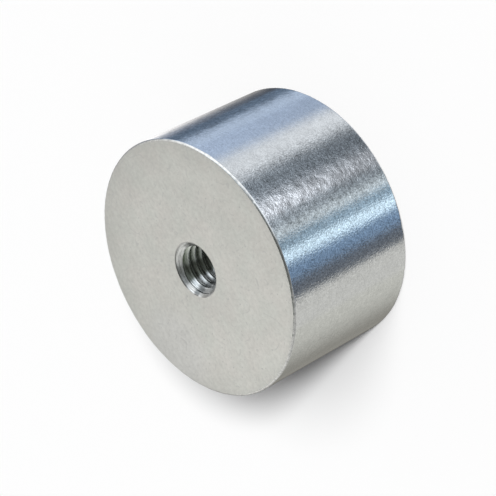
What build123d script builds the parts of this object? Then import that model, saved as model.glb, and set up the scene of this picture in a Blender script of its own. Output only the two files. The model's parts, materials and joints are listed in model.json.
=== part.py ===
"""Deep pot magnet with a tapped back: a turned and zinc plated steel pot, the disc magnet that
sits in its pocket and the resin ring that holds the disc in the middle of the pot.

The part stands on its pole face at Z = 0, with the axis along +Z and the tapped back face up.
All sizes are in millimetres."""
import os
from math import radians, tan

from build123d import *

os.makedirs("parts", exist_ok=True)

# The turned body
body_diameter = 30.0
body_height = 17.5
edge_break = 0.2

# The tapped hole in the back: M6 coarse, drawn at the wall that the tapping drill leaves
thread_diameter = 6.0
thread_pitch = 1.0
tapping_drill_diameter = thread_diameter - thread_pitch
drilled_depth = 7.5
drill_point_angle = 118.0
mouth_diameter = 6.4
mouth_angle = 90.0

# The pocket in the pole side
pot_wall = 3.0
pocket_depth = 7.2
pocket_root_chamfer = 0.4

# The disc magnet, set a little below the rim so that the steel takes the wear
magnet_diameter = 20.0
magnet_thickness = 7.0
magnet_edge_chamfer = 0.3

# The resin ring, which shrinks to a shallow hollow between the wall and the disc as it cures
resin_below_rim = 0.4
resin_hollow = 0.15

# Worked out
body_radius = body_diameter / 2
drill_radius = tapping_drill_diameter / 2
mouth_radius = mouth_diameter / 2
mouth_depth = (mouth_radius - drill_radius) / tan(radians(mouth_angle / 2))
drill_point_height = drill_radius / tan(radians(drill_point_angle / 2))
pocket_radius = body_radius - pot_wall
magnet_radius = magnet_diameter / 2
magnet_recess = pocket_depth - magnet_thickness
resin_wet_line = magnet_recess + magnet_edge_chamfer

# The pot: a bar end turned to size, bored for the magnet and drilled from the back
with BuildPart() as steel_pot:
    with BuildSketch(Plane.XY):
        Circle(body_radius)
    extrude(amount=body_height)

    with BuildSketch(Plane.XY):
        Circle(pocket_radius)
    extrude(amount=pocket_depth, mode=Mode.SUBTRACT)
    pocket_floor = steel_pot.faces().filter_by(Plane.XY).sort_by(Axis.Z)[1]
    chamfer(pocket_floor.outer_wire().edges(), length=pocket_root_chamfer)

    rim = steel_pot.faces().filter_by(Plane.XY).sort_by(Axis.Z)[0]
    back = steel_pot.faces().filter_by(Plane.XY).sort_by(Axis.Z)[-1]
    chamfer(rim.edges() + back.edges(), length=edge_break)

    # Section of the drilled hole: countersunk mouth, straight wall and drill point
    with BuildSketch(Plane.XZ):
        with BuildLine():
            Polyline(
                (0, body_height),
                (mouth_radius, body_height),
                (drill_radius, body_height - mouth_depth),
                (drill_radius, body_height - drilled_depth),
                (0, body_height - drilled_depth - drill_point_height),
                close=True,
            )
        make_face()
    revolve(axis=Axis.Z, mode=Mode.SUBTRACT)

steel_pot.part.label = "steel_pot"
export_step(steel_pot.part, "parts/steel_pot.step")

# The disc magnet, seated on the pocket's floor
with BuildPart() as magnet_core:
    with BuildSketch(Plane.XY.offset(magnet_recess)):
        Circle(magnet_radius)
    extrude(amount=magnet_thickness)
    chamfer(magnet_core.edges().filter_by(GeomType.CIRCLE), length=magnet_edge_chamfer)

magnet_core.part.label = "magnet_core"
export_step(magnet_core.part, "parts/magnet_core.step")

# The resin ring: it fills the gap round the disc up to the pocket's floor
with BuildPart() as resin_ring:
    with BuildSketch(Plane.XZ):
        with BuildLine():
            gap_middle = (pocket_radius + magnet_radius) / 2
            hollow_top = (resin_below_rim + resin_wet_line) / 2 + resin_hollow
            Polyline(
                (magnet_radius, resin_wet_line),
                (magnet_radius, pocket_depth - magnet_edge_chamfer),
                (magnet_radius - magnet_edge_chamfer, pocket_depth),
                (pocket_radius - pocket_root_chamfer, pocket_depth),
                (pocket_radius, pocket_depth - pocket_root_chamfer),
                (pocket_radius, resin_below_rim),
            )
            ThreePointArc(
                (pocket_radius, resin_below_rim),
                (gap_middle, hollow_top),
                (magnet_radius, resin_wet_line),
            )
        make_face()
    revolve(axis=Axis.Z)

resin_ring.part.label = "resin_ring"
export_step(resin_ring.part, "parts/resin_ring.step")
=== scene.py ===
"""Pot magnet: the looks of a turned and zinc plated steel pot with a tapped back, the disc magnet
in its pocket and the resin ring between them, laid out as an add-on with one operator a piece."""
import json

import bmesh
import bpy
import numpy as np
from bpy.props import FloatProperty, FloatVectorProperty, PointerProperty
from mathutils import Matrix, Vector


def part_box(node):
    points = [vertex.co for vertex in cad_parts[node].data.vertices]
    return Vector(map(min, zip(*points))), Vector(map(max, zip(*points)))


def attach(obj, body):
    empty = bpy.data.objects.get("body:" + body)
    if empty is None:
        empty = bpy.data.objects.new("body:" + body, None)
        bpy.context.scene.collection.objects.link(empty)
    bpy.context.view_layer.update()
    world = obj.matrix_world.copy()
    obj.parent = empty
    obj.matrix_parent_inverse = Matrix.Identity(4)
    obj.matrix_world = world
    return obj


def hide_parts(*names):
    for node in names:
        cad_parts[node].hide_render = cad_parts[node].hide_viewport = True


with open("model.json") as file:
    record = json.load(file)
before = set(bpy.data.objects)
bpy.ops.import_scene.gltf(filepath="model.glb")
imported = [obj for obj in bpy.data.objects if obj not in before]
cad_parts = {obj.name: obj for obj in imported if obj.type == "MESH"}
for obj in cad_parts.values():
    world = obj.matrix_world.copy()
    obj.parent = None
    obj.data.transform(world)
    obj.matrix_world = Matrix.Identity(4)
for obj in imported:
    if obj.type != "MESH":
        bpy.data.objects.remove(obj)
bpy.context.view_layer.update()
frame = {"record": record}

bl_info = {
    "name": "Pot Magnet",
    "version": (1, 0, 0),
    "blender": (4, 5, 0),
    "location": "3D View > Sidebar > Pot Magnet",
    "description": "Turned steel pot with a tapped back, a disc magnet and a resin ring",
    "category": "Object",
}

MM = 0.001
TURN = 2.0 * np.pi

# Quads once round the axis, rows across each curved band, and how close doubles lie
COLUMNS = 720
EDGE_ROWS = 7
MOUTH_ROWS = 5
RESIN_ROWS = 29
MERGE_DISTANCE = 2e-7

# Edges that bend more than this many degrees stay sharp
METAL_SHARP = 32.0
RESIN_SHARP = 40.0

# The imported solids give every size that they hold
pot_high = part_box("steel_pot")[1]
disc_low, disc_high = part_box("magnet_core")
ring_low, ring_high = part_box("resin_ring")
drill_radius = next(mount["dims"]["r_mm"] for mount in frame["record"]["mounts"]
                    if mount["name"] == "tapped_hole") * MM


# ---------------------------------------------------------------- sizes, colours and studio

def length(name, description, default):
    """A length property in metres."""
    return FloatProperty(name=name, description=description, default=default, min=0.0,
                         unit="LENGTH", precision=5)


def tint(name, description, default):
    """A linear colour property."""
    return FloatVectorProperty(name=name, description=description, default=default, size=3,
                               min=0.0, max=1.0, subtype="COLOR")


def turned_by(name, description, degrees):
    """An angle property, given in degrees."""
    return FloatProperty(name=name, description=description, default=np.radians(degrees),
                         subtype="ANGLE", unit="ROTATION")


def level(name, description, default):
    """A plain number that isn't negative."""
    return FloatProperty(name=name, description=description, default=default, min=0.0)


class PotSizes(bpy.types.PropertyGroup):
    """The turned pot and its tapped hole."""
    radius: length("Body radius", "Radius of the turned body", pot_high.x)
    height: length("Body height", "From the pole face to the back face", pot_high.z)
    edge_break: length("Edge break", "Mean width of the broken edges", 0.2 * MM)
    mouth_radius: length("Mouth radius", "Radius of the countersink at the back face", 3.2 * MM)
    mouth_round: length("Mouth round", "How far the mouth's rounded edge reaches", 0.09 * MM)
    crest_radius: length("Crest radius", "Radius that the tapping drill leaves", drill_radius)
    root_radius: length("Root radius", "Radius at the bottom of the thread", 3.05 * MM)
    pitch: length("Pitch", "Distance from one thread crest to the next", 1.0 * MM)
    thread_depth: length("Thread depth", "Threaded length, from the back face", 6.5 * MM)
    drilled_depth: length("Drilled depth", "Depth of the full drill diameter", 7.5 * MM)
    point_height: length("Drill point", "Height of the cone that the drill leaves", 1.502 * MM)
    pocket_radius: length("Pocket radius", "Radius of the pocket for the magnet", ring_high.x)
    pocket_depth: length("Pocket depth", "Depth of the pocket from the pole face", ring_high.z)
    pocket_chamfer: length("Pocket corner", "Chamfer at the root of the pocket", 0.4 * MM)
    thread_start: turned_by("Thread start", "Turn of the helix about the axis", 165.0)


class DiscSizes(bpy.types.PropertyGroup):
    """The disc magnet and the resin round it."""
    radius: length("Disc radius", "Radius of the disc magnet", disc_high.x)
    face: length("Disc face", "Height of the disc's face above the pole plane", disc_low.z)
    back: length("Disc back", "Height of the disc's back", disc_high.z)
    chamfer: length("Disc chamfer", "Chamfer along the disc's edges", 0.3 * MM)
    resin_at_wall: length("Resin at the wall", "Height of the resin at the pot's wall", ring_low.z)
    resin_at_disc: length("Resin at the disc", "Height of the resin at the disc", 0.5 * MM)
    resin_hollow: length("Resin hollow", "Depth of the hollow in the resin", 0.15 * MM)


class Finish(bpy.types.PropertyGroup):
    """Colours of the plated metals and the resin, and the scale of the turning marks."""
    zinc: tint("Zinc plate", "Colour of the bright zinc plate", (0.64, 0.64, 0.635))
    passivate: tint("Passivate", "Zinc where the clear passivate lies thicker",
                    (0.64, 0.637, 0.617))
    nickel: tint("Nickel plate", "Colour of the nickel on the disc magnet", (0.60, 0.585, 0.555))
    resin: tint("Potting resin", "Colour of the cured resin", (0.012, 0.012, 0.014))
    stroke_length: length("Stroke length", "Length of the turning strokes", 1.2 * MM)
    stroke_width: length("Stroke width", "Width of the turning strokes", 0.20 * MM)


class Studio(bpy.types.PropertyGroup):
    """Floor, lamps, surround and camera."""
    floor: tint("Floor", "Colour of the floor", (0.88, 0.88, 0.88))
    floor_glow: level("Floor glow", "Added to the floor for the camera alone", 0.04)
    floor_half: length("Floor half width", "Half the side of the floor", 4.0)
    floor_gap: length("Floor gap", "Distance from the pole plane down to the floor", 0.02 * MM)
    fill: level("Soft fill", "Level of the light from all round", 0.143)
    key: level("Key lamp", "Strength of the key lamp", 3.16)
    key_spread: turned_by("Key spread", "Angle that the key lamp fills, which softens shadows", 9.8)
    key_azimuth: turned_by("Key azimuth", "Direction that the key lamp stands in", -79.5)
    key_height: turned_by("Key height", "Angle of the key lamp above the floor", 35.9)
    broad: level("Broad lamp", "Strength of the broad lamp", 1.39)
    broad_spread: turned_by("Broad lamp spread", "Angle that the broad lamp fills", 27.0)
    broad_azimuth: turned_by("Broad lamp azimuth", "Direction that the broad lamp stands in", -61.2)
    broad_height: turned_by("Broad lamp height", "Angle of the broad lamp above the floor", 51.4)
    view_distance: length("Camera distance", "From the camera to the point it looks at", 0.2310)
    view_height: turned_by("Camera height", "Angle of the camera above the floor", 37.25)
    view_roll: turned_by("Camera roll", "Turn of the camera to its right", 117.09)
    view_lens: level("Lens", "Focal length in millimetres", 150.88)
    target: FloatVectorProperty(name="Target", description="Point that the camera looks at",
                                default=(-0.504 * MM, 0.489 * MM, 9.392 * MM), size=3,
                                subtype="TRANSLATION", unit="LENGTH")


# ---------------------------------------------------------------- surfaces of revolution

class Section:
    """Section of a turned piece, traced row by row. A row has a radius and a height, each a number
    or an array that gives a value at each angle, and the material of the band that leads to it."""

    def __init__(self):
        self.radii = []
        self.heights = []
        self.bands = []

    def trace(self, material, radii, heights):
        """Adds rows, in order. The section runs from the top centre outwards and down, or up out
        of a hole, so that rising angle crossed with it points out of the metal."""
        for radius, height in zip(radii, heights):
            self.radii.append(np.broadcast_to(radius, COLUMNS + 1))
            self.heights.append(np.broadcast_to(height, COLUMNS + 1))
            self.bands.append(material)

    def grid(self):
        """Points (radius cos a, radius sin a, height) for each row and each angle a, which goes
        once round from 0 to a full turn, so that the last column lies on the first."""
        angle = np.linspace(0.0, TURN, COLUMNS + 1)
        radius = np.array(self.radii)
        return np.stack((radius * np.cos(angle), radius * np.sin(angle), self.heights), axis=-1)


def make_piece(name, section, materials, sharp_degrees):
    """A closed mesh object from a section. Each cell of the grid is a quad, the doubles along the
    seam, at the poles and where rows meet are merged, and edges sharper than the angle stay so."""
    grid = section.grid()
    rows, columns = grid.shape[:2]
    corner = np.arange(rows * columns, dtype=np.int32).reshape(rows, columns)
    quads = np.stack((corner[:-1, :-1], corner[1:, :-1], corner[1:, 1:], corner[:-1, 1:]), axis=-1)
    names = list(materials)
    band = np.array([names.index(material) for material in section.bands[1:]], np.int32)

    mesh = bpy.data.meshes.new(name)
    mesh.vertices.add(rows * columns)
    mesh.vertices.foreach_set("co", grid.reshape(-1))
    mesh.loops.add(quads.size)
    mesh.loops.foreach_set("vertex_index", quads.reshape(-1))
    mesh.polygons.add(quads.size // 4)
    mesh.polygons.foreach_set("loop_start", np.arange(0, quads.size, 4, dtype=np.int32))
    mesh.polygons.foreach_set("material_index", np.repeat(band, columns - 1))
    mesh.update(calc_edges=True)
    for material in materials.values():
        mesh.materials.append(material)

    work = bmesh.new()
    work.from_mesh(mesh)
    bmesh.ops.remove_doubles(work, verts=work.verts, dist=MERGE_DISTANCE)
    work.to_mesh(mesh)
    work.free()
    mesh.shade_smooth()
    mesh.set_sharp_from_angle(angle=np.radians(sharp_degrees))

    piece = bpy.data.objects.new(name, mesh)
    bpy.context.scene.collection.objects.link(piece)
    return piece


def seat(piece, node):
    """The piece rides on the one body and stands for the solid, which is hidden."""
    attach(piece, "root")
    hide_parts(node)


def worn_width(width, sway, nicks, nick_depth, seed):
    """Width of a broken edge at each angle: the mean width times a slow sway made of six waves with
    random phases, plus nicks, each of them a narrow bell that widens the edge. Where nicks meet,
    the deepest counts."""
    random = np.random.default_rng(seed)
    angle = np.linspace(0.0, TURN, COLUMNS + 1)
    waves = np.array([5, 11, 17, 29, 43, 71])[:, None]
    phases = random.uniform(0.0, TURN, (len(waves), 1))
    swayed = np.sum(np.sin(waves * angle + phases), axis=0) / len(waves)
    centre = random.uniform(0.0, TURN, (nicks, 1))
    reach = np.radians(random.uniform(0.35, 1.3, (nicks, 1)))
    depth = random.uniform(0.3, 1.0, (nicks, 1)) * nick_depth
    gap = np.abs(angle - centre)
    gap = np.minimum(gap, TURN - gap)
    return width * (1.0 + sway * swayed) + np.max(depth * np.exp(-((gap / reach) ** 2)), axis=0)


def broken_edge(radius, height, width, inwards=1.0):
    """Rows of a broken outer edge on the face at that height, from the face to the side: half way
    between a 45 degree chamfer and a quarter round. inwards is 1 where the metal lies below the
    face and -1 where it lies above, and then the rows run from the side to the face."""
    share = np.linspace(0.0, 1.0, EDGE_ROWS)
    outwards = (share + np.sin(share * np.pi / 2)) / 2
    radii = [radius - width * (1.0 - step) for step in outwards]
    heights = [height - inwards * width * (1.0 - step) for step in outwards[::-1]]
    return (radii, heights) if inwards > 0 else (radii[::-1], heights[::-1])


def thread_rows(sizes):
    """Radii and heights of the tapped wall. Each row climbs one pitch a turn, so that crests and
    roots follow the right hand helix: height = bottom + pitch (turns + phase), held between the
    thread's two ends. The radius at a phase is a trapezium with softened corners, narrowed by the
    tap's lead at the bottom and opened by the 45 degree cone of the countersink at the mouth."""
    flank_angle, lead_angle = np.radians((30.0, 14.0))
    bottom = sizes.height - sizes.thread_depth
    top = sizes.height - sizes.mouth_round * np.sqrt(0.5)
    depth = sizes.root_radius - sizes.crest_radius

    # Shares of a pitch: half the flat of the root, the reach of a softened corner, and a flank
    root_half = 0.07
    soft = 0.05
    flank = depth / sizes.pitch * np.tan(flank_angle)
    crest_start = root_half + flank

    # Phases of the rows over one pitch: the root's middle at 0 and the crest's middle at 0.5
    rising = [0.0, root_half - soft, root_half, root_half + soft,
              crest_start - soft, crest_start, crest_start + soft, 0.5]
    phases = np.array(rising + [1.0 - phase for phase in rising[-2:0:-1]])
    turns = int(round(sizes.thread_depth / sizes.pitch)) + 1
    climb = np.concatenate([phases + whole for whole in range(-2, turns + 1)])[:, None]
    turn = np.linspace(0.0, 1.0, COLUMNS + 1)[None, :] + sizes.thread_start / TURN
    height = np.clip(bottom + sizes.pitch * (climb + turn), bottom, top)

    phase = (height - bottom) / sizes.pitch - turn
    rounding = np.linspace(-soft, soft, 5)[:, None, None]
    from_root = np.abs((phase + rounding + 0.5) % 1.0 - 0.5)
    groove = np.clip((crest_start - from_root) / flank, 0.0, 1.0).mean(axis=0)
    cut = sizes.crest_radius + depth * groove
    lead = sizes.crest_radius + (height - bottom) * np.tan(lead_angle)
    cone = sizes.mouth_radius - (sizes.height - height)
    return np.maximum(np.minimum(cut, lead), cone), height


def rounded_mouth(sizes):
    """Rows of the edge between the countersink and the back face: a quadratic curve that leaves
    the cone and meets the face at the same distance from the corner, with the corner as its
    middle point."""
    share = np.linspace(0.0, 1.0, MOUTH_ROWS)

    # Weights of the curve's first and last points. The corner has the rest.
    first, last = (1 - share) ** 2, share ** 2
    down = sizes.mouth_round * np.sqrt(0.5)
    radii = sizes.mouth_radius - first * down + last * sizes.mouth_round
    return radii, sizes.height - first * down


def bubbled(radii, heights, low, high, count, seed):
    """Heights with small round pits, where bubbles broke at the surface as the resin set: each pit
    is half a flattened ball, its depth the flattening times the root of (its radius squared less
    the distance squared)."""
    flattening = 0.7
    random = np.random.default_rng(seed)
    angle = np.linspace(0.0, TURN, COLUMNS + 1)
    radius = np.array(radii)[:, None]
    x, y = radius * np.cos(angle), radius * np.sin(angle)
    place = random.uniform(0.0, TURN, count)
    ring = random.uniform(low, high, count)
    ball = random.uniform(0.08, 0.24, count) * MM
    cx, cy = (part[:, None, None] for part in (ring * np.cos(place), ring * np.sin(place)))
    room = ball[:, None, None] ** 2 - (x - cx) ** 2 - (y - cy) ** 2
    pits = np.sqrt(np.clip(room, 0.0, None)).max(axis=0)
    return np.array(heights)[:, None] + flattening * pits


# ---------------------------------------------------------------- materials

def stops_round(spans):
    """Ramp stops along Nodes.turn, from spans that each have a name, the angles in degrees where
    they start and end, a colour and a number. The seam at 180 degrees needs no stop of its own."""
    return [(end / 360.0 + 0.5, colour, number) for name, first, last, colour, number in spans
            for end in sorted({first, last}) if abs(end) < 180]


class Nodes:
    """Short ways to add and link the nodes of one material or of the world."""

    def __init__(self, tree):
        self.tree = tree
        tree.nodes.clear()

    def add(self, kind, inputs=None, **settings):
        """A node with its settings made and its inputs linked or set."""
        node = self.tree.nodes.new(kind)
        for name, value in settings.items():
            setattr(node, name, value)
        for name, value in (inputs or {}).items():
            if isinstance(value, bpy.types.NodeSocket):
                self.tree.links.new(value, node.inputs[name])
            else:
                node.inputs[name].default_value = value
        return node

    def math(self, operation, *values):
        """One arithmetic step on numbers or sockets."""
        return self.add("ShaderNodeMath", dict(enumerate(values)), operation=operation).outputs[0]

    def between(self, value, low, high, to_low=0.0, to_high=1.0, kind="LINEAR"):
        """Maps value from low..high to to_low..to_high, clamped."""
        inputs = {"Value": value, "From Min": low, "From Max": high,
                  "To Min": to_low, "To Max": to_high}
        return self.add("ShaderNodeMapRange", inputs, interpolation_type=kind).outputs["Result"]

    def mix(self, share, first, second, blend="MIX"):
        """Blends two colours, each three numbers or a socket."""
        first, second = (value if isinstance(value, bpy.types.NodeSocket) else (*value, 1.0)
                         for value in (first, second))
        inputs = {0: share, 6: first, 7: second}
        return self.add("ShaderNodeMix", inputs, data_type="RGBA", blend_type=blend).outputs[2]

    def times(self, first, second):
        """The product of two colours."""
        return self.mix(1.0, first, second, blend="MULTIPLY")

    def grey(self, value):
        """A grey of that value."""
        return self.add("ShaderNodeCombineColor", {0: value, 1: value, 2: value}).outputs[0]

    def place(self):
        """Object coordinates, in metres."""
        return self.add("ShaderNodeTexCoord").outputs["Object"]

    def height(self):
        """Height above the pole plane."""
        return self.add("ShaderNodeSeparateXYZ", {0: self.place()}).outputs["Z"]

    def apart(self, x, y):
        """Distance, seen along Z, from the point x, y."""
        flat = self.add("ShaderNodeVectorMath", {0: self.place(), 1: (1.0, 1.0, 0.0)},
                        operation="MULTIPLY")
        return self.add("ShaderNodeVectorMath", {0: flat.outputs["Vector"], 1: (x, y, 0.0)},
                        operation="DISTANCE").outputs["Value"]

    def noise(self, size, detail, start=(0.0, 0.0, 0.0), harsh=0.5):
        """Noise on Object coordinates. Its features are about size metres across, or as long along
        X, Y and Z as its three numbers. Each finer octave is harsh times as strong as the one
        before."""
        scale = [1.0 / side for side in np.broadcast_to(size, 3)]
        inputs = {"Vector": self.place(), "Scale": scale, "Location": start}
        place = self.add("ShaderNodeMapping", inputs).outputs["Vector"]
        inputs = {"Vector": place, "Scale": 1.0, "Detail": detail, "Roughness": harsh}
        return self.add("ShaderNodeTexNoise", inputs).outputs["Fac"]

    def scuffs(self, size, width, start):
        """Thin, slightly bent marks, 1 on a mark: the contour line of one noise with features of
        that size, kept only where a second noise, with smaller features, is high."""
        x, y, z = start
        bend = self.math("ABSOLUTE", self.math("SUBTRACT", self.noise(size, 0.0, start), 0.5))
        line = self.between(bend, 0.0, width, 1.0, 0.0)
        kept = self.between(self.noise(size * 0.4, 0.0, (z, x, y)), 0.58, 0.63)
        return self.math("MULTIPLY", line, kept)

    def turn(self, direction):
        """Angle of the direction about the Z axis, as 0..1 for -180..180 degrees."""
        return self.add("ShaderNodeTexGradient", {"Vector": direction},
                        gradient_type="RADIAL").outputs["Fac"]

    def round_axis(self, stretches):
        """Colour by the angle about the Z axis, from stretches that each have a name, the angles
        in degrees where they start and end, and a colour. Between two the one fades into the
        next."""
        stops = stops_round((*stretch, 1.0) for stretch in stretches)
        return self.ramp(self.turn(self.place()), stops)[0]

    def bump(self, height, depth, under=None):
        """Bump on which a height of 1 stands depth metres proud, over another bump."""
        inputs = {"Height": height, "Distance": depth, "Strength": 1.0}
        if under is not None:
            inputs["Normal"] = under
        return self.add("ShaderNodeBump", inputs).outputs["Normal"]

    def ramp(self, share, stops):
        """Colours along 0..1, eased from stop to stop, and the number that stands with each."""
        node = self.add("ShaderNodeValToRGB", {"Fac": share})
        ramp = node.color_ramp
        ramp.interpolation = "EASE"
        while len(ramp.elements) < len(stops):
            ramp.elements.new(0.5)
        for element, (position, colour, number) in zip(ramp.elements, sorted(stops)):
            element.position = position
            element.color = (*colour, number)
        return node.outputs["Color"], node.outputs["Alpha"]


def surface(name, describe):
    """A material whose shader takes the inputs that describe(nodes) returns."""
    material = bpy.data.materials.new(name)
    material.use_nodes = True
    nodes = Nodes(material.node_tree)
    shader = nodes.add("ShaderNodeBsdfPrincipled", describe(nodes))
    nodes.add("ShaderNodeOutputMaterial", {"Surface": shader.outputs["BSDF"]})
    return material


def shade(colour, factor):
    """The colour, lighter or darker by the factor."""
    return tuple(part * factor for part in colour)


# How strongly the fine grain, the coarse grain and the clouds show on each stretch of the side,
# tuned against the photographed view
SIDE_GRAIN = (
    ("even side", -180, -127, (0.28, 0.22, 0.20)),
    ("speckled side", -114, -98, (1.00, 0.35, 0.25)),
    ("pitted line", -91, -88, (0.95, 1.00, 0.80)),
    ("ragged sheen", -85, -80, (0.50, 0.70, 1.30)),
    ("speckled flank", -76, -68, (1.10, 0.45, 0.75)),
    ("even top", -59, -38, (0.35, 0.25, 0.30)),
    ("coarse stretch", -31, -18, (0.40, 1.00, 1.00)),
    ("even back", 10, 180, (0.35, 0.30, 0.30)),
)


def turned_zinc(finish):
    """Zinc over the turned side: grain that is finer here and coarser there, over faint waves,
    turning lines and strokes that run round the body, and a few scuffs."""
    def describe(nodes):
        along, across = finish.stroke_length, finish.stroke_width
        strokes = nodes.noise((along, along, across), 2.0)
        lines = nodes.noise((9.0 * MM, 9.0 * MM, 0.3 * MM), 1.0, start=(4.0, 1.0, 2.0))
        waves = nodes.noise(1.1 * MM, 1.0, start=(8.0, 3.0, 1.0))
        fine = nodes.noise(0.17 * MM, 1.0, start=(11.0, 2.0, 4.0))
        coarse = nodes.noise(0.45 * MM, 1.0, start=(5.0, 9.0, 2.0))
        clouds = nodes.noise(1.4 * MM, 1.0, start=(1.0, 4.0, 6.0))
        hatch = nodes.noise((3.0 * MM, 3.0 * MM, 0.13 * MM), 1.0, start=(7.0, 3.0, 3.0))
        shares = nodes.add("ShaderNodeSeparateColor", {0: nodes.round_axis(SIDE_GRAIN)}).outputs

        plated = nodes.between(hatch, 0.3, 0.7, 0.975, 1.025)
        for share, mottle, contrast in zip(shares, (fine, coarse, clouds), (1.7, 1.1, 0.6)):
            fleck = nodes.math("MULTIPLY", nodes.math("SUBTRACT", mottle, 0.5), contrast)
            plated = nodes.math("MULTIPLY_ADD", fleck, share, plated)
        plated = nodes.times(finish.zinc, nodes.grey(plated))
        scuffed = nodes.scuffs(5.0 * MM, 0.010, start=(1.0, 6.0, 3.0))

        uneven = nodes.bump(nodes.math("MULTIPLY", waves, shares[2]), 1.8e-5)
        swept = nodes.bump(strokes, 0.3e-5, nodes.bump(lines, 0.4e-6, uneven))
        grain = nodes.noise(0.17 * MM, 1.0, start=(3.0, 5.0, 7.0))
        grain = nodes.math("MULTIPLY", grain, nodes.between(shares[0], 0.3, 0.9, 0.65, 1.0))
        return {
            "Metallic": 1.0,
            "Base Color": nodes.mix(scuffed, plated, shade(finish.zinc, 0.85)),
            "Roughness": nodes.between(strokes, 0.3, 0.7, 0.10, 0.14),
            "Normal": nodes.bump(grain, 0.95e-5, swept),
        }

    return surface("turned_zinc", describe)


def pore_dirt(nodes, clean, dirty):
    """Dirt in the pores, which runs on from a face over its edge: 0 where its noise is below clean
    and 1 where it is above dirty."""
    return nodes.between(nodes.noise(0.35 * MM, 2.0, start=(6.0, 1.0, 5.0)), clean, dirty)


def faced_zinc(finish):
    """Zinc over the faced ends: even and soft, with painted light that makes it brighter to one
    side and painted shade that makes it darker towards the rim, clouded with passivate, with small
    pits and scuffs, and dirt beside the edge."""
    def describe(nodes):
        # Painted light and shade: brighter towards one side and darker towards the rim, as light
        # falls in one view
        from_painted_light_side = nodes.apart(-40.0 * MM, -15.0 * MM)
        even = nodes.between(from_painted_light_side, 30.0 * MM, 42.0 * MM, 1.06, 1.0)
        off_middle = nodes.apart(-1.2 * MM, -1.5 * MM)
        even = nodes.math("MULTIPLY", even,
                          nodes.between(off_middle, 11.5 * MM, 16.5 * MM, 1.0, 0.90))
        cloud = nodes.noise(3.5 * MM, 4.0, start=(9.0, 1.0, 4.0), harsh=0.6)
        cloud = nodes.between(cloud, 0.35, 0.65)
        warmth = nodes.noise(3.0 * MM, 3.0, start=(2.0, 7.0, 5.0))
        warmth = nodes.between(warmth, 0.35, 0.65)
        bare_patch = nodes.between(nodes.apart(-7.0 * MM, 10.0 * MM), 3.0 * MM, 6.0 * MM, 1.0, 0.0)
        mottle = nodes.noise(0.5 * MM, 3.0, harsh=0.6)
        mottle = nodes.between(mottle, 0.3, 0.7)
        grain = nodes.noise(0.16 * MM, 1.0, start=(3.0, 5.0, 7.0))
        specks = nodes.noise(0.35 * MM, 2.0, start=(5.0, 2.0, 8.0))
        specks = nodes.between(specks, 0.66, 0.72)
        scuffed = nodes.scuffs(5.0 * MM, 0.008, start=(4.0, 2.0, 9.0))
        scored = nodes.scuffs(1.7 * MM, 0.035, start=(8.0, 5.0, 1.0))

        green, rose = (0.990, 1.003, 0.999), (1.008, 0.997, 0.997)
        tinted = nodes.times(finish.passivate, nodes.mix(warmth, green, rose))
        tinted = nodes.mix(nodes.math("MULTIPLY", bare_patch, 0.8), tinted, finish.zinc)
        for part, low, high in ((mottle, 0.91, 1.09), (cloud, 0.965, 1.03)):
            even = nodes.math("MULTIPLY", even, nodes.between(part, 0.0, 1.0, low, high))
        clean = nodes.times(tinted, nodes.grey(even))
        dirt = pore_dirt(nodes, 0.40, 0.62)
        beside_edge = nodes.between(nodes.apart(0.0, 0.0), 14.1 * MM, 14.8 * MM, 0.0, 0.6)
        marks = nodes.math("MAXIMUM", specks, nodes.math("MULTIPLY", scuffed, 0.5))
        marks = nodes.math("MAXIMUM", marks, nodes.math("MULTIPLY", scored, 0.7))
        marks = nodes.math("MAXIMUM", marks, nodes.math("MULTIPLY", dirt, beside_edge))
        return {
            "Metallic": 1.0,
            "Base Color": nodes.mix(marks, clean, shade(finish.zinc, 0.80)),
            "Roughness": nodes.between(mottle, 0.0, 1.0, 0.41, 0.45),
            "Normal": nodes.bump(grain, 2.0e-6),
        }

    return surface("faced_zinc", describe)


# Zinc on the broken edges, beside the faces and beside the turned side, as a share of the bright
# plate's colour, tuned in the same way. The shares are painted highlights and painted shade of that
# view.
FACE_EDGE_STRETCHES = (
    ("even edge", -180, -128, (1.22, 1.22, 1.22)),
    ("dull line", -112, -74, (0.90, 0.90, 0.90)),
    ("rubbed edge", -64, -24, (1.28, 1.28, 1.28)),
    ("lighter edge", 5, 95, (1.04, 1.04, 1.04)),
    ("stained edge", 118, 152, (0.62, 0.62, 0.62)),
    ("even edge, far end", 170, 180, (1.22, 1.22, 1.22)),
)
SIDE_EDGE_STRETCHES = (
    ("even edge", -180, -116, (1.00, 1.00, 1.00)),
    ("dull line", -108, -97, (0.80, 0.80, 0.80)),
    ("worn patch", -90, -77, (1.50, 1.50, 1.50)),
    ("rubbed edge", -70, -24, (1.28, 1.28, 1.28)),
    ("lighter edge", 5, 95, (1.04, 1.04, 1.04)),
    ("stained edge", 118, 152, (0.62, 0.62, 0.62)),
    ("even edge, far end", 170, 180, (1.00, 1.00, 1.00)),
)


def edge_zinc(finish, height):
    """Zinc over the broken edges of a piece of that height, lighter in small rubbed patches, with
    painted highlights on some stretches round the axis and painted shade on others, and a little
    dirt in its pores."""
    def describe(nodes):
        rub = nodes.between(nodes.noise(0.3 * MM, 2.0, start=(2.0, 8.0, 1.0)), 0.3, 0.7)
        plated = nodes.mix(rub, finish.zinc, shade(finish.zinc, 1.10))
        plated = nodes.mix(pore_dirt(nodes, 0.46, 0.66), plated, shade(finish.zinc, 0.84))
        off_middle = nodes.math("ABSOLUTE", nodes.math("SUBTRACT", nodes.height(), height / 2))
        to_face = nodes.between(off_middle, height / 2 - 0.11 * MM, height / 2 - 0.05 * MM)
        # Painted highlights and painted shade on stretches round the axis
        stretches = nodes.mix(to_face, nodes.round_axis(SIDE_EDGE_STRETCHES),
                              nodes.round_axis(FACE_EDGE_STRETCHES))
        return {
            "Metallic": 1.0,
            "Base Color": nodes.times(plated, stretches),
            "Roughness": nodes.between(rub, 0.0, 1.0, 0.18, 0.30),
            "Normal": nodes.bump(rub, 3.0e-6),
        }

    return surface("edge_zinc", describe)
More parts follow.
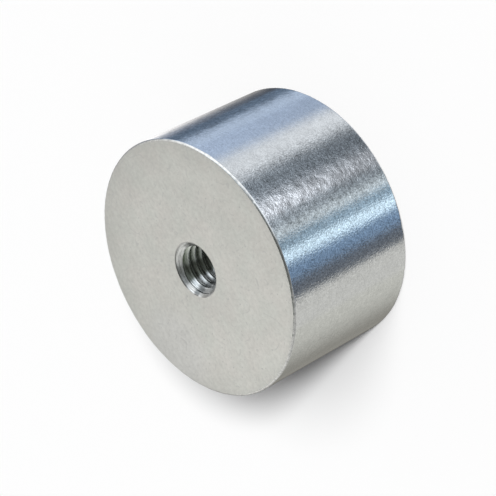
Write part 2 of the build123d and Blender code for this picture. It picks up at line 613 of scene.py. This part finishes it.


# Colour of the zinc on the cut surfaces of the hole: on the thread, in the countersink and on the
# mouth's rounded edge. It was tuned in the same way, and its bright and dull stretches are painted
# highlights and painted shade of that view as much as uneven plating. The drill point, the bore
# below the thread and the pocket are even. The roots keep a share of the thread's colour, with
# painted shade on one stretch.
THREAD_STRETCHES = (
    ("grey side", -180, -150, (0.58, 0.60, 0.61)),
    ("hidden side", -120, -20, (0.85, 0.85, 0.84)),
    ("bright cut", 15, 42, (0.86, 0.90, 0.85)),
    ("glossy cut", 55, 60, (0.92, 0.96, 0.90)),
    ("dull root", 77, 103, (0.20, 0.215, 0.185)),
    ("bright strip", 115, 124, (0.86, 0.90, 0.92)),
    ("dull side", 138, 146, (0.27, 0.29, 0.30)),
    ("grey side, far end", 160, 180, (0.72, 0.74, 0.75)),
)
ROOT_STRETCHES = (
    ("clean roots, near end", -180, -80, (1.00, 1.00, 1.00)),
    ("oily roots", -30, 58, (0.22, 0.25, 0.19)),
    ("clean roots, far end", 84, 180, (1.00, 1.00, 1.00)),
)
COUNTERSINK_STRETCHES = (
    ("grey side", -180, -130, (0.60, 0.60, 0.59)),
    ("hidden side", -115, -20, (0.50, 0.50, 0.50)),
    ("bright cut", -6, 62, (0.86, 0.87, 0.86)),
    ("worn cut", 70, 76, (0.62, 0.63, 0.62)),
    ("dull cut", 87, 106, (0.46, 0.47, 0.47)),
    ("bright notch", 114, 130, (0.80, 0.81, 0.81)),
    ("dull notch", 137, 145, (0.30, 0.32, 0.33)),
    ("small chip", 149, 153, (0.62, 0.63, 0.63)),
    ("grey side, far end", 160, 180, (0.56, 0.56, 0.55)),
)
DRILLED_STRETCHES = (
    ("even cut", -90, 90, (0.50, 0.51, 0.49)),
)
MOUTH_STRETCHES = (
    ("thin line", -180, -25, (0.46, 0.46, 0.45)),
    ("pale line", -8, 12, (0.46, 0.46, 0.45)),
    ("grey line", 30, 60, (0.38, 0.38, 0.37)),
    ("dull line", 75, 110, (0.22, 0.22, 0.22)),
    ("bright chip", 118, 131, (0.95, 0.95, 0.95)),
    ("dull line, far end", 138, 145, (0.28, 0.28, 0.28)),
    ("small chip", 149, 153, (0.85, 0.85, 0.85)),
    ("thin line, far end", 160, 180, (0.40, 0.40, 0.39)),
)


def cut_zinc(name, edge, below, above):
    """Thin, glossy zinc in the tapped hole, with the tap's chatter and the fine lines it drew,
    painted highlights and painted shade by stretches round the axis, and painted shade in the
    thread's roots on one stretch. One list of stretches holds below the height of the edge and the
    other above it."""
    def describe(nodes):
        chatter = nodes.noise((0.5 * MM, 0.5 * MM, 0.2 * MM), 2.0, start=(6.0, 2.0, 5.0))
        chatter = nodes.between(chatter, 0.3, 0.7)
        raised = nodes.between(nodes.height(), edge - 0.05 * MM, edge + 0.05 * MM)
        # Painted shade in the thread's roots, on one stretch round the axis
        near_roots = nodes.between(nodes.apart(0.0, 0.0), 2.58 * MM, 2.95 * MM)
        root_shaded = nodes.mix(near_roots, (1.0,) * 3, nodes.round_axis(ROOT_STRETCHES))
        root_shaded = nodes.times(nodes.round_axis(below), root_shaded)
        plated = nodes.mix(raised, root_shaded, nodes.round_axis(above))
        drawn = nodes.noise((1.6 * MM, 1.6 * MM, 0.08 * MM), 1.0, start=(2.0, 6.0, 9.0))
        drawn = nodes.between(drawn, 0.35, 0.65, 0.66, 1.20)
        uneven = nodes.math("MULTIPLY", drawn, nodes.between(chatter, 0.0, 1.0, 0.86, 1.08))
        return {
            "Metallic": 0.95,
            "Base Color": nodes.times(plated, nodes.grey(uneven)),
            "Roughness": nodes.between(chatter, 0.0, 1.0, 0.24, 0.38),
            "Normal": nodes.bump(chatter, 1.5e-6),
        }

    return surface(name, describe)


def nickel_plate(finish):
    """Nickel plate on the sintered disc: bright, with faint orange peel and hair scratches."""
    def describe(nodes):
        peel = nodes.between(nodes.noise(0.5 * MM, 2.0), 0.3, 0.7)
        hair = nodes.noise((4.0 * MM, 0.05 * MM, 4.0 * MM), 2.0, start=(1.0, 7.0, 3.0))
        hair = nodes.between(hair, 0.66, 0.72)
        dented = nodes.bump(nodes.math("MULTIPLY", hair, -1.0), 1.5e-6, nodes.bump(peel, 3.0e-6))
        return {
            "Metallic": 1.0,
            "Base Color": nodes.mix(peel, shade(finish.nickel, 0.94), shade(finish.nickel, 1.05)),
            "Roughness": nodes.between(hair, 0.0, 1.0, 0.17, 0.34),
            "Normal": dented,
        }

    return surface("nickel_plate", describe)


def potting_resin(finish):
    """Cured black resin: glossy, with a faint settling ripple and specks of dust."""
    def describe(nodes):
        ripple = nodes.between(nodes.noise(1.2 * MM, 2.0), 0.3, 0.7)
        dust = nodes.noise(0.1 * MM, 1.0, start=(4.0, 4.0, 9.0))
        dust = nodes.between(dust, 0.70, 0.78)
        return {
            "Base Color": nodes.mix(dust, finish.resin, (0.10, 0.10, 0.10)),
            "Roughness": nodes.between(ripple, 0.0, 1.0, 0.22, 0.36),
            "Normal": nodes.bump(ripple, 1.2e-5),
        }

    return surface("potting_resin", describe)


# ---------------------------------------------------------------- pieces

class POTMAGNET_OT_steel_pot(bpy.types.Operator):
    """Turned pot with its tapped hole, broken edges and pocket"""
    bl_idname = "potmagnet.steel_pot"
    bl_label = "Steel pot"

    def execute(self, context):
        sizes = context.scene.pot_sizes
        finish = context.scene.pot_finish
        radius, height, drill = sizes.radius, sizes.height, sizes.crest_radius

        # Rows at the margin and just beside each edge keep its shading off the faces and the side
        margin = 4 * sizes.edge_break
        beside = 0.06 * MM
        hole_end = height - sizes.drilled_depth
        upper_edge = worn_width(sizes.edge_break, 0.22, 26, 0.06 * MM, seed=11)
        lower_edge = worn_width(sizes.edge_break, 0.22, 14, 0.06 * MM, seed=23)
        pocket, depth, corner = sizes.pocket_radius, sizes.pocket_depth, sizes.pocket_chamfer

        section = Section()
        section.trace("drilled", [0.0, drill, drill],
                      [hole_end - sizes.point_height, hole_end, height - sizes.thread_depth])
        section.trace("tapped", *thread_rows(sizes))
        section.trace("mouth", *rounded_mouth(sizes))
        section.trace("faced", [radius / 2, radius - margin], [height] * 2)
        section.trace("faced", [radius - upper_edge - beside, radius - upper_edge], [height] * 2)
        section.trace("edge", *broken_edge(radius, height, upper_edge))
        section.trace("turned", [radius] * 2, [height - upper_edge - beside, height - margin])
        section.trace("turned", [radius] * 3, [margin, lower_edge + beside, lower_edge])
        section.trace("edge", *broken_edge(radius, 0.0, lower_edge, -1.0))
        section.trace("faced", [radius - lower_edge - beside, radius - margin, pocket], [0.0] * 3)
        section.trace("drilled", [pocket, pocket - corner, 0.0], [depth - corner, depth, depth])
        cone_foot = height - sizes.mouth_radius + drill
        materials = {
            "drilled": cut_zinc("drilled_zinc", cone_foot, DRILLED_STRETCHES, DRILLED_STRETCHES),
            "tapped": cut_zinc("tapped_zinc", cone_foot, THREAD_STRETCHES, COUNTERSINK_STRETCHES),
            "mouth": cut_zinc("mouth_zinc", cone_foot, MOUTH_STRETCHES, MOUTH_STRETCHES),
            "faced": faced_zinc(finish),
            "edge": edge_zinc(finish, height),
            "turned": turned_zinc(finish),
        }
        piece = make_piece("turned_steel_pot", section, materials, METAL_SHARP)
        seat(piece, "steel_pot")
        return {"FINISHED"}


class POTMAGNET_OT_magnet_core(bpy.types.Operator):
    """Nickel plated disc magnet with small chips along its chamfers"""
    bl_idname = "potmagnet.magnet_core"
    bl_label = "Disc magnet"

    def execute(self, context):
        sizes = context.scene.disc_sizes
        radius, face, back = sizes.radius, sizes.face, sizes.back
        chipped = worn_width(sizes.chamfer, 0.08, 18, 0.12 * MM, seed=5)
        margin = 3 * sizes.chamfer

        section = Section()
        section.trace("nickel", [0.0, radius - margin], [back] * 2)
        section.trace("nickel", *broken_edge(radius, back, sizes.chamfer))
        section.trace("nickel", [radius] * 2, [back - margin, face + margin])
        section.trace("nickel", *broken_edge(radius, face, chipped, -1.0))
        section.trace("nickel", [radius - margin, 0.0], [face] * 2)
        materials = {"nickel": nickel_plate(context.scene.pot_finish)}
        piece = make_piece("disc_magnet", section, materials, METAL_SHARP)
        seat(piece, "magnet_core")
        return {"FINISHED"}


class POTMAGNET_OT_resin_ring(bpy.types.Operator):
    """Resin ring between the disc and the pot, hollow where it shrank, with a few burst bubbles"""
    bl_idname = "potmagnet.resin_ring"
    bl_label = "Resin ring"

    def execute(self, context):
        disc, pot = context.scene.disc_sizes, context.scene.pot_sizes
        inner, outer, top = disc.radius, pot.pocket_radius, pot.pocket_depth
        corner = pot.pocket_chamfer

        # Free surface from the wall to the disc: a straight line raised by a parabola
        across = np.linspace(0.0, 1.0, RESIN_ROWS)
        radii = outer + (inner - outer) * across
        heights = disc.resin_at_wall + (disc.resin_at_disc - disc.resin_at_wall) * across
        heights = heights + disc.resin_hollow * 4 * across * (1 - across)
        pitted = bubbled(radii, heights, inner + 0.3 * MM, outer - 0.3 * MM, 16, seed=31)

        section = Section()
        section.trace("resin", [inner, inner - disc.chamfer, outer - corner, outer],
                      [top - disc.chamfer, top, top, top - corner])
        section.trace("resin", radii, pitted)
        section.trace("resin", [inner], [top - disc.chamfer])
        materials = {"resin": potting_resin(context.scene.pot_finish)}
        piece = make_piece("resin_ring_poured", section, materials, RESIN_SHARP)
        seat(piece, "resin_ring")
        return {"FINISHED"}


# ---------------------------------------------------------------- studio

# Cards and flags round the object, as the glossy metal sees them. Each has the azimuths in degrees
# that it spans, its colour on the metal, and its rise: how fast it gets lighter towards its top.
# Between two of them the light passes softly from one to the next. The names are made up. The low
# cards began as colours sampled from the reference photograph, by mirrored azimuth, and all three
# tiers were then tuned against that one view.
LOW_CARDS = (
    ("pale card, near edge", -180, -155, (0.49, 0.495, 0.48), 0.0),
    ("navy flag", -149, -141, (0.102, 0.117, 0.140), 0.0),
    ("blue spill", -130, -124, (0.149, 0.227, 0.342), -0.1),
    ("strip light", -116, -113, (0.65, 0.83, 0.97), -0.08),
    ("strip shoulder", -108, -103, (0.197, 0.281, 0.360), -0.1),
    ("first sheen", -97, -97, (0.475, 0.535, 0.575), -0.15),
    ("gap between sheens", -86, -85, (0.215, 0.25, 0.285), 0.25),
    ("second sheen", -77, -73, (0.47, 0.50, 0.548), 0.53),
    ("grey flag", -57, -48, (0.156, 0.182, 0.212), 0.30),
    ("soft box", -28, -21, (0.61, 0.645, 0.685), -0.05),
    ("sky card", -5, 10, (0.327, 0.405, 0.54), 0.12),
    ("sky card, bright edge", 17, 19, (0.385, 0.47, 0.605), 0.0),
    ("dark flag", 38, 44, (0.099, 0.138, 0.197), -0.12),
    ("dark flag, lit end", 51, 51, (0.077, 0.088, 0.110), 0.80),
    ("white wall", 74, 78, (0.233, 0.231, 0.231), 1.0),
    ("shade beside the wall", 87, 97, (0.064, 0.062, 0.053), 0.0),
    ("grey card", 109, 120, (0.201, 0.197, 0.178), 0.0),
    ("pale card, far edge", 178, 180, (0.475, 0.48, 0.45), 0.0),
)
MIDDLE_CARDS = (
    ("grey screen, near edge", -180, -168, (0.33, 0.33, 0.32), 0.0),
    ("dark screen", -138, -102, (0.15, 0.155, 0.155), -0.3),
    ("window", -78, -60, (0.36, 0.385, 0.41), -0.25),
    ("overhead box", -36, 10, (0.84, 0.86, 0.87), 0.05),
    ("grey corner", 34, 62, (0.48, 0.48, 0.47), 0.12),
    ("white screen", 94, 108, (0.775, 0.77, 0.74), 0.2),
    ("white screen, far edge", 128, 150, (0.47, 0.47, 0.455), 0.0),
    ("grey screen, far edge", 165, 180, (0.37, 0.37, 0.36), 0.0),
)
HIGH_CARDS = (
    ("dark room, near side", -180, -60, (0.11, 0.12, 0.11), 0.0),
    ("top of the overhead box", -24, 34, (0.46, 0.51, 0.55), 0.0),
    ("dark room, far side", 70, 180, (0.11, 0.12, 0.11), 0.0),
)

# The cards' colours are what the bright plate shows of them, and this is the plate's own level
PLATE_LEVEL = 0.64

# Limit of the power of e by which a card's rise makes it lighter or darker
RISE_LIMIT = 1.4

# Heights of a unit direction over which the middle cards take over from the low ones, the high
# cards take over from the middle ones, and the high cards dim to the share that the zenith keeps
HORIZON = (-0.20, 0.0)
OVERHEAD = (0.70, 0.86)
ZENITH = (0.94, 0.99)
ZENITH_SHARE = 0.34

# Each tier has the level, as the height of a unit direction, at which its cards have their colour,
# the slope of their rise, and how far from the level the rise reaches
TIERS = (
    (-0.63, 32.0, 0.08, LOW_CARDS),
    (0.60, 6.0, 2.0, MIDDLE_CARDS),
    (0.75, 1.0, 2.0, HIGH_CARDS),
)


class POTMAGNET_OT_studio(bpy.types.Operator):
    """Floor, key lamp, broad lamp, surround and camera"""
    bl_idname = "potmagnet.studio"
    bl_label = "Studio"

    def execute(self, context):
        studio = context.scene.pot_studio
        self.add_floor(context, studio)
        self.add_lamp(context, "key", studio.key, studio.key_spread,
                      studio.key_azimuth, studio.key_height)
        self.add_lamp(context, "broad", studio.broad, studio.broad_spread,
                      studio.broad_azimuth, studio.broad_height)
        self.add_surround(context, studio)
        self.add_camera(context, studio)
        context.scene.view_settings.view_transform = "Standard"
        return {"FINISHED"}

    def add_floor(self, context, studio):
        """A pale floor, seen from above alone, which the metal doesn't mirror."""
        half = studio.floor_half
        mesh = bpy.data.meshes.new("floor")
        corners = [(x * half, y * half, -studio.floor_gap)
                   for x, y in ((-1, -1), (1, -1), (1, 1), (-1, 1))]
        mesh.from_pydata(corners, [], [(0, 1, 2, 3)])
        floor = bpy.data.objects.new("floor", mesh)
        context.scene.collection.objects.link(floor)
        floor.visible_glossy = False

        material = bpy.data.materials.new("floor_paper")
        material.use_nodes = True
        nodes = Nodes(material.node_tree)
        seen = nodes.add("ShaderNodeLightPath").outputs["Is Camera Ray"]
        paper = nodes.add("ShaderNodeBsdfPrincipled", {
            "Base Color": (*studio.floor, 1.0),
            "Roughness": 1.0,
            "Specular IOR Level": 0.0,
            "Emission Color": (1.0, 1.0, 1.0, 1.0),
            "Emission Strength": nodes.math("MULTIPLY", seen, studio.floor_glow),
        })
        clear = nodes.add("ShaderNodeBsdfTransparent")
        below = nodes.add("ShaderNodeNewGeometry").outputs["Backfacing"]
        sides = nodes.add("ShaderNodeMixShader", {
            0: nodes.math("MULTIPLY", seen, below), 1: paper.outputs[0], 2: clear.outputs[0]})
        nodes.add("ShaderNodeOutputMaterial", {"Surface": sides.outputs[0]})
        mesh.materials.append(material)

    def add_lamp(self, context, name, strength, spread, azimuth, height):
        """A distant lamp that lights the floor, gives a soft shadow and isn't mirrored."""
        lamp = bpy.data.lights.new(name, "SUN")
        lamp.energy = strength
        lamp.angle = spread
        holder = bpy.data.objects.new(name, lamp)
        context.scene.collection.objects.link(holder)
        holder.visible_glossy = False
        flat = np.cos(height)
        towards = Vector((flat * np.cos(azimuth), flat * np.sin(azimuth), np.sin(height)))
        holder.matrix_world = (-towards).to_track_quat("-Z", "Y").to_matrix().to_4x4()

    def add_tier(self, nodes, azimuth, height, tier):
        """Light of one tier of cards by azimuth and by the height of the direction. A card has its
        own colour at the tier's level, and above it is lighter by a power of e: the height above
        the level times the card's rise and the tier's slope. The rise ends at its reach, and by
        twice that the card is back at its own colour."""
        level_height, slope, reach, cards = tier
        stops = stops_round((*card, 0.5 + rise / 2) for *card, rise in cards)
        light, number = nodes.ramp(azimuth, stops)
        rise = nodes.math("MULTIPLY_ADD", number, 2.0, -1.0)
        above = nodes.math("SUBTRACT", height, level_height)
        near = nodes.between(nodes.math("ABSOLUTE", above), reach, 2.0 * reach, 1.0, 0.0)
        power = nodes.math("MULTIPLY", rise, nodes.math("MULTIPLY", above, slope))
        power = nodes.between(power, -RISE_LIMIT, RISE_LIMIT, -RISE_LIMIT, RISE_LIMIT)
        gain = nodes.math("EXPONENT", nodes.math("MULTIPLY", power, near))
        return nodes.times(light, nodes.grey(gain))

    def add_surround(self, context, studio):
        """White behind the object, an even fill for matt surfaces, and for glossy ones three tiers
        of cards: below the horizon, above it and overhead."""
        world = bpy.data.worlds.new("surround")
        context.scene.world = world
        world.use_nodes = True
        nodes = Nodes(world.node_tree)
        direction = nodes.add("ShaderNodeTexCoord").outputs["Generated"]
        height = nodes.add("ShaderNodeSeparateXYZ", {0: direction}).outputs["Z"]
        azimuth = nodes.turn(direction)
        low, middle, high = (self.add_tier(nodes, azimuth, height, tier) for tier in TIERS)
        upwards = nodes.between(height, *HORIZON, kind="SMOOTHSTEP")
        overhead = nodes.between(height, *OVERHEAD, kind="SMOOTHSTEP")
        zenith = nodes.between(height, *ZENITH, 1.0, ZENITH_SHARE, kind="SMOOTHSTEP")
        high = nodes.times(high, nodes.grey(zenith))
        mirrored = nodes.mix(overhead, nodes.mix(upwards, low, middle), high)
        mirrored = nodes.times(mirrored, (1.0 / PLATE_LEVEL,) * 3)
        path = nodes.add("ShaderNodeLightPath").outputs
        direct = nodes.math("LESS_THAN", path["Diffuse Depth"], 0.5)
        glossy = nodes.math("MULTIPLY", path["Is Glossy Ray"], direct)
        sight = nodes.mix(glossy, (studio.fill,) * 3, mirrored)
        sight = nodes.mix(path["Is Camera Ray"], sight, (1.0, 1.0, 1.0))
        light = nodes.add("ShaderNodeBackground", {"Color": sight, "Strength": 1.0})
        nodes.add("ShaderNodeOutputWorld", {"Surface": light.outputs["Background"]})

    def add_camera(self, context, studio):
        """The camera looks along +Y and down at the target, and is rolled to its right."""
        lens = bpy.data.cameras.new("camera")
        lens.lens = studio.view_lens
        camera = bpy.data.objects.new("camera", lens)
        context.scene.collection.objects.link(camera)
        outwards = Vector((0.0, -np.cos(studio.view_height), np.sin(studio.view_height)))
        level_view = (-outwards).to_track_quat("-Z", "Y").to_matrix().to_4x4()
        place = Matrix.Translation(Vector(studio.target) + outwards * studio.view_distance)
        camera.matrix_world = place @ level_view @ Matrix.Rotation(-studio.view_roll, 4, "Z")
        context.scene.camera = camera


# ---------------------------------------------------------------- add-on

class POTMAGNET_PT_panel(bpy.types.Panel):
    """Pieces, sizes and finishes of the pot magnet"""
    bl_idname = "POTMAGNET_PT_panel"
    bl_label = "Pot Magnet"
    bl_space_type = "VIEW_3D"
    bl_region_type = "UI"
    bl_category = "Pot Magnet"

    def draw(self, context):
        for operator in OPERATORS:
            self.layout.operator(operator.bl_idname)
        for name in GROUPS:
            group = getattr(context.scene, name)
            box = self.layout.box()
            box.label(text=group.bl_rna.name)
            for setting in group.bl_rna.properties:
                if setting.identifier not in ("rna_type", "name"):
                    box.prop(group, setting.identifier)


GROUPS = {"pot_sizes": PotSizes, "disc_sizes": DiscSizes, "pot_finish": Finish,
          "pot_studio": Studio}
OPERATORS = (POTMAGNET_OT_steel_pot, POTMAGNET_OT_magnet_core, POTMAGNET_OT_resin_ring,
             POTMAGNET_OT_studio)


def register():
    for group in (*GROUPS.values(), *OPERATORS, POTMAGNET_PT_panel):
        bpy.utils.register_class(group)
    for name, group in GROUPS.items():
        setattr(bpy.types.Scene, name, PointerProperty(type=group))


def unregister():
    for name in GROUPS:
        delattr(bpy.types.Scene, name)
    for group in reversed((*GROUPS.values(), *OPERATORS, POTMAGNET_PT_panel)):
        bpy.utils.unregister_class(group)


def main():
    register()
    bpy.ops.potmagnet.steel_pot()
    bpy.ops.potmagnet.magnet_core()
    bpy.ops.potmagnet.resin_ring()
    bpy.ops.potmagnet.studio()


if __name__ == "__main__":
    main()
